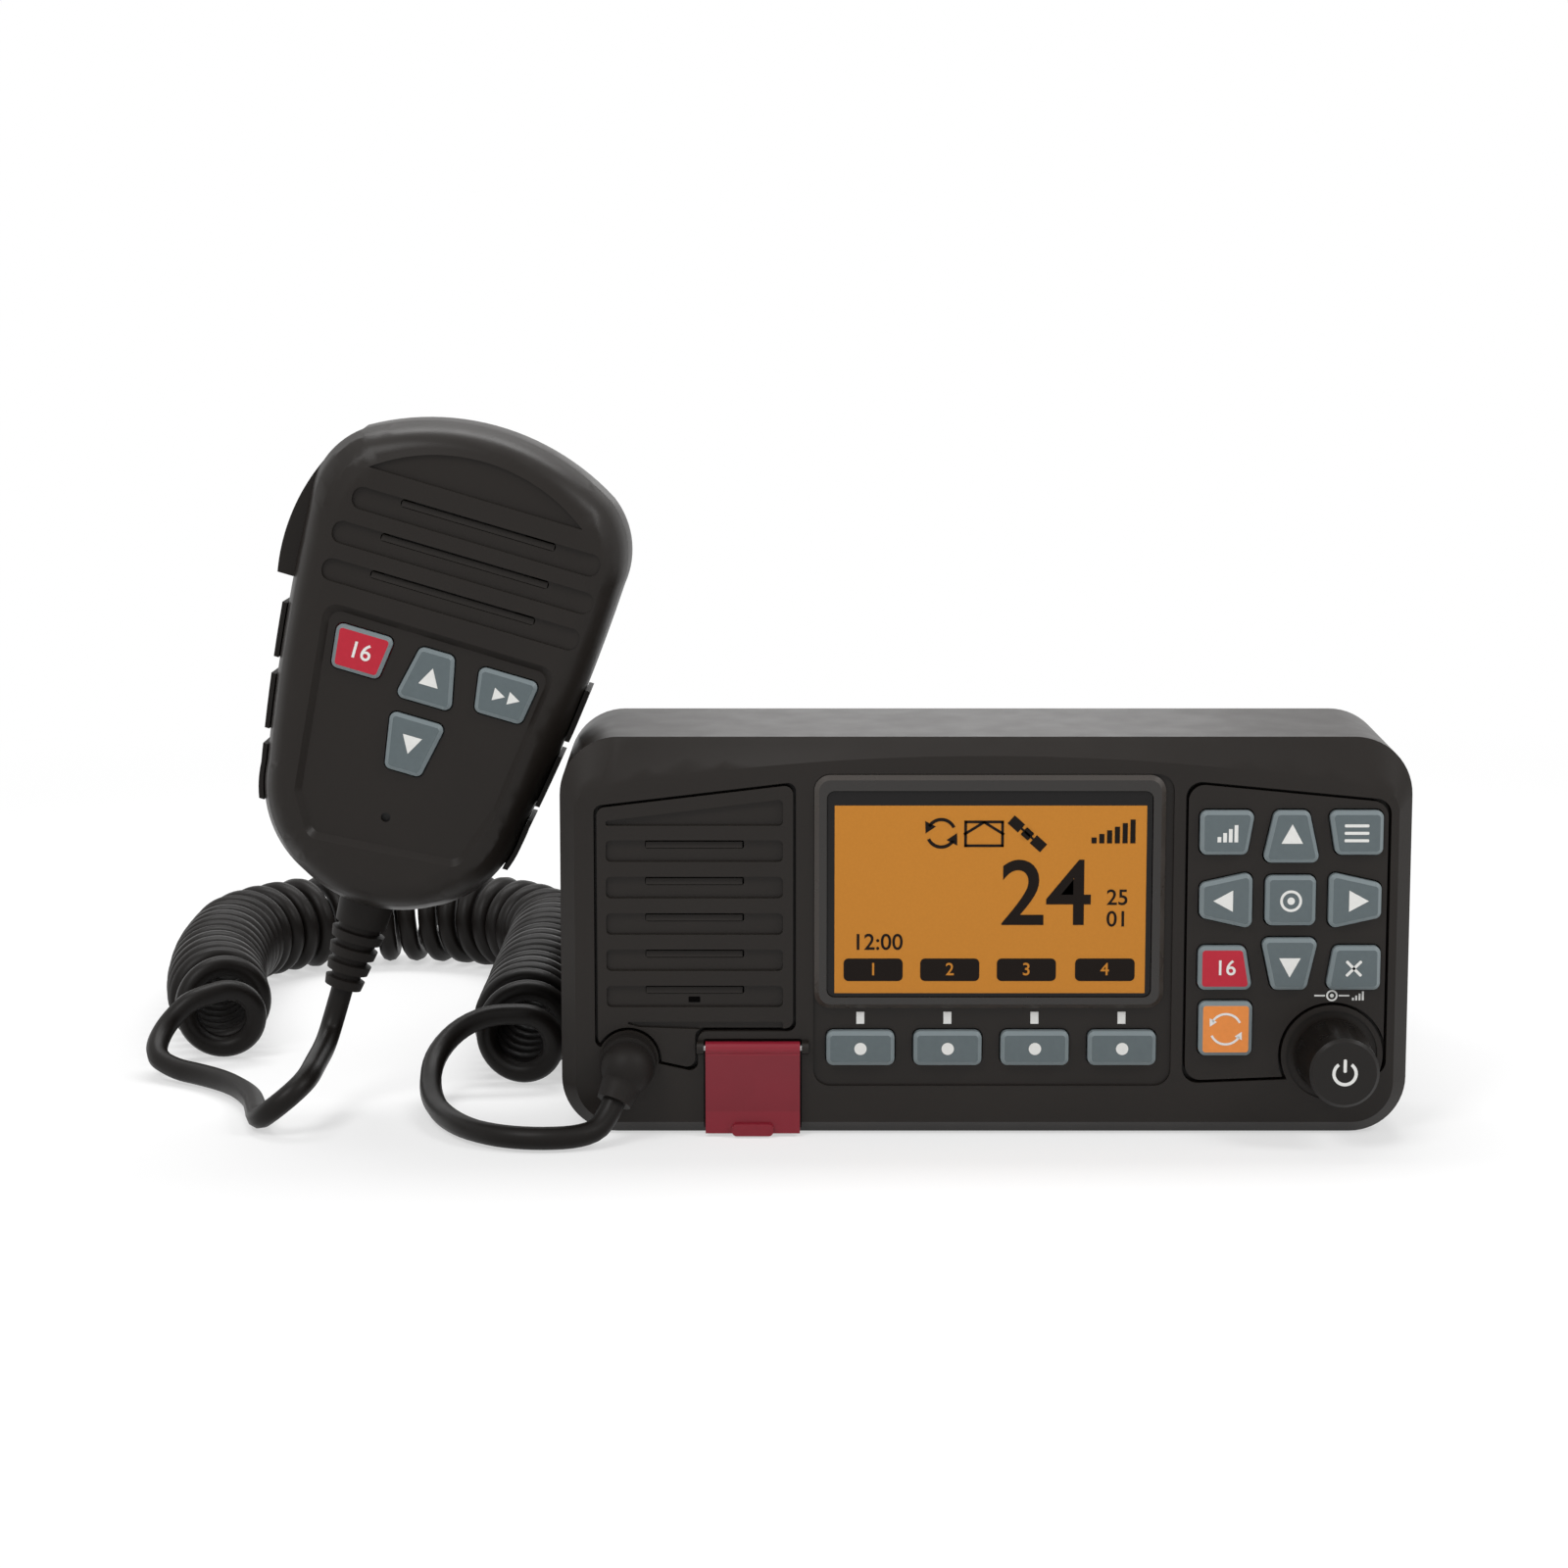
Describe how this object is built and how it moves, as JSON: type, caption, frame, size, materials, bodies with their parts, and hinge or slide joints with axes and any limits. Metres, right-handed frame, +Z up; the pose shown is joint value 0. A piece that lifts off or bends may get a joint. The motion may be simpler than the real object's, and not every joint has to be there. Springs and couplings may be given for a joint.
{
  "type": "vhf marine radio",
  "caption": "Fixed-mount marine radio: housing with display, keypad, knob and hinged distress cover, finned chassis, and a hand microphone on a curly cord.",
  "frame": {"origin": "centre of the radio's flat base, on the surface that it stands on", "axes": "+X to the right along the front, +Y away from the person using it, +Z up"},
  "size_m": [0.254, 0.2014, 0.1343],
  "materials": {
    "housing_plastic": "fine moulded texture",
    "mic_plastic": "fine moulded texture",
    "key_rubber": "smooth silicone",
    "call_key": "smooth silicone",
    "swap_key": "smooth silicone",
    "distress_plastic": "smooth, part clear",
    "distress_button": "smooth silicone",
    "knob_plastic": "fine moulded texture",
    "white_print": "printed",
    "display_glass": "polished",
    "display": "backlit film",
    "black_rubber": "matt",
    "cord_jacket": "satin",
    "silicone_mat": "matt",
    "circuit_board": "solder mask",
    "cast_alloy": "powder coat",
    "plated_metal": "nickel plate",
    "steel": "plain",
    "switch_metal": "plated",
    "speaker_metal": "plain"
  },
  "bodies": {
    "radio": {"front_housing": "housing_plastic", "speaker_grille": "housing_plastic", "speaker_driver": "speaker_metal", "keypad_panel": "housing_plastic", "lcd_frame": "housing_plastic", "lcd_lens": "display_glass", "lcd_module": "display", "index_marks": "white_print", "keypad_mat": "silicone_mat", "front_board": "circuit_board", "encoder_bush": "switch_metal", "distress_cover_pin": "steel", "radio_cord_boot": "black_rubber", "rear_chassis": "cast_alloy", "chassis_gasket": "black_rubber", "chassis_screws": "steel", "main_board": "circuit_board", "aerial_connector": "plated_metal", "power_lead_gland": "black_rubber", "data_lead_gland": "black_rubber", "cord_coil": "cord_jacket", "cord_tail_radio": "cord_jacket", "cord_tail_handset": "cord_jacket"},
    "handset": {"mic_front_shell": "mic_plastic", "mic_rear_shell": "mic_plastic", "mic_screws": "steel", "mic_key_mat": "silicone_mat", "mic_board": "circuit_board", "mic_speaker": "speaker_metal", "mic_element": "switch_metal", "mic_side_grips": "black_rubber", "ptt_pin": "steel", "hang_up_stud": "mic_plastic", "mic_cord_boot": "black_rubber"},
    "knob_shaft": {"knob_shaft": "steel"},
    "volume_knob": {"volume_knob": "knob_plastic"},
    "distress_cover": {"distress_cover": "distress_plastic"},
    "distress_button": {"distress_button": "distress_button"},
    "ptt_lever": {"ptt_lever": "mic_plastic"},
    "key_power_level": {"key_power_level": "key_rubber"},
    "key_up": {"key_up": "key_rubber"},
    "key_menu": {"key_menu": "key_rubber"},
    "key_left": {"key_left": "key_rubber"},
    "key_enter": {"key_enter": "key_rubber"},
    "key_right": {"key_right": "key_rubber"},
    "key_channel_16": {"key_channel_16": "call_key"},
    "key_down": {"key_down": "key_rubber"},
    "key_clear": {"key_clear": "key_rubber"},
    "key_swap": {"key_swap": "swap_key"},
    "softkey_1": {"softkey_1": "key_rubber"},
    "softkey_2": {"softkey_2": "key_rubber"},
    "softkey_3": {"softkey_3": "key_rubber"},
    "softkey_4": {"softkey_4": "key_rubber"},
    "mic_key_16": {"mic_key_16": "call_key"},
    "mic_key_up": {"mic_key_up": "key_rubber"},
    "mic_key_down": {"mic_key_down": "key_rubber"},
    "mic_key_scan": {"mic_key_scan": "key_rubber"}
  },
  "joints": [
    {"name": "handset_lift", "type": "slide", "parent": "radio", "child": "handset", "axis": [0, 0, 1], "range_m": [0, 0.07], "deforming": ["cord_tail_handset"]},
    {"name": "power_push", "type": "slide", "parent": "radio", "child": "knob_shaft", "axis": [0, 1, 0], "range_m": [0, 0.0006], "stiffness_N_per_m": 500},
    {"name": "volume_turn", "type": "hinge", "parent": "knob_shaft", "child": "volume_knob", "pos_m": [0.0655, -0.08, 0.0152], "axis": [0, -1, 0], "continuous": true},
    {"name": "distress_cover_hinge", "type": "hinge", "parent": "radio", "child": "distress_cover", "pos_m": [-0.0438, -0.0759, 0.0168], "axis": [-1, 0, 0], "range_deg": [0, 110]},
    {"name": "distress_press", "type": "slide", "parent": "radio", "child": "distress_button", "axis": [0, 1, 0], "range_m": [0, 0.0008], "stiffness_N_per_m": 400},
    {"name": "talk_press", "type": "hinge", "parent": "handset", "child": "ptt_lever", "pos_m": [-0.1243, -0.05, 0.12369], "axis": [0, -1, 0], "range_deg": [0, 4], "stiffness_Nm_per_rad": 0.3},
    {"name": "key_power_level_press", "type": "slide", "parent": "radio", "child": "key_power_level", "axis": [0, 1, 0], "range_m": [0, 0.0008], "stiffness_N_per_m": 300},
    {"name": "key_up_press", "type": "slide", "parent": "radio", "child": "key_up", "axis": [0, 1, 0], "range_m": [0, 0.0008], "stiffness_N_per_m": 300},
    {"name": "key_menu_press", "type": "slide", "parent": "radio", "child": "key_menu", "axis": [0, 1, 0], "range_m": [0, 0.0008], "stiffness_N_per_m": 300},
    {"name": "key_left_press", "type": "slide", "parent": "radio", "child": "key_left", "axis": [0, 1, 0], "range_m": [0, 0.0008], "stiffness_N_per_m": 300},
    {"name": "key_enter_press", "type": "slide", "parent": "radio", "child": "key_enter", "axis": [0, 1, 0], "range_m": [0, 0.0008], "stiffness_N_per_m": 300},
    {"name": "key_right_press", "type": "slide", "parent": "radio", "child": "key_right", "axis": [0, 1, 0], "range_m": [0, 0.0008], "stiffness_N_per_m": 300},
    {"name": "key_channel_16_press", "type": "slide", "parent": "radio", "child": "key_channel_16", "axis": [0, 1, 0], "range_m": [0, 0.0008], "stiffness_N_per_m": 300},
    {"name": "key_down_press", "type": "slide", "parent": "radio", "child": "key_down", "axis": [0, 1, 0], "range_m": [0, 0.0008], "stiffness_N_per_m": 300},
    {"name": "key_clear_press", "type": "slide", "parent": "radio", "child": "key_clear", "axis": [0, 1, 0], "range_m": [0, 0.0008], "stiffness_N_per_m": 300},
    {"name": "key_swap_press", "type": "slide", "parent": "radio", "child": "key_swap", "axis": [0, 1, 0], "range_m": [0, 0.0008], "stiffness_N_per_m": 300},
    {"name": "softkey_1_press", "type": "slide", "parent": "radio", "child": "softkey_1", "axis": [0, 1, 0], "range_m": [0, 0.0008], "stiffness_N_per_m": 300},
    {"name": "softkey_2_press", "type": "slide", "parent": "radio", "child": "softkey_2", "axis": [0, 1, 0], "range_m": [0, 0.0008], "stiffness_N_per_m": 300},
    {"name": "softkey_3_press", "type": "slide", "parent": "radio", "child": "softkey_3", "axis": [0, 1, 0], "range_m": [0, 0.0008], "stiffness_N_per_m": 300},
    {"name": "softkey_4_press", "type": "slide", "parent": "radio", "child": "softkey_4", "axis": [0, 1, 0], "range_m": [0, 0.0008], "stiffness_N_per_m": 300},
    {"name": "mic_key_16_press", "type": "slide", "parent": "handset", "child": "mic_key_16", "axis": [0, 1, 0], "range_m": [0, 0.0008], "stiffness_N_per_m": 300},
    {"name": "mic_key_up_press", "type": "slide", "parent": "handset", "child": "mic_key_up", "axis": [0, 1, 0], "range_m": [0, 0.0008], "stiffness_N_per_m": 300},
    {"name": "mic_key_down_press", "type": "slide", "parent": "handset", "child": "mic_key_down", "axis": [0, 1, 0], "range_m": [0, 0.0008], "stiffness_N_per_m": 300},
    {"name": "mic_key_scan_press", "type": "slide", "parent": "handset", "child": "mic_key_scan", "axis": [0, 1, 0], "range_m": [0, 0.0008], "stiffness_N_per_m": 300}
  ]
}
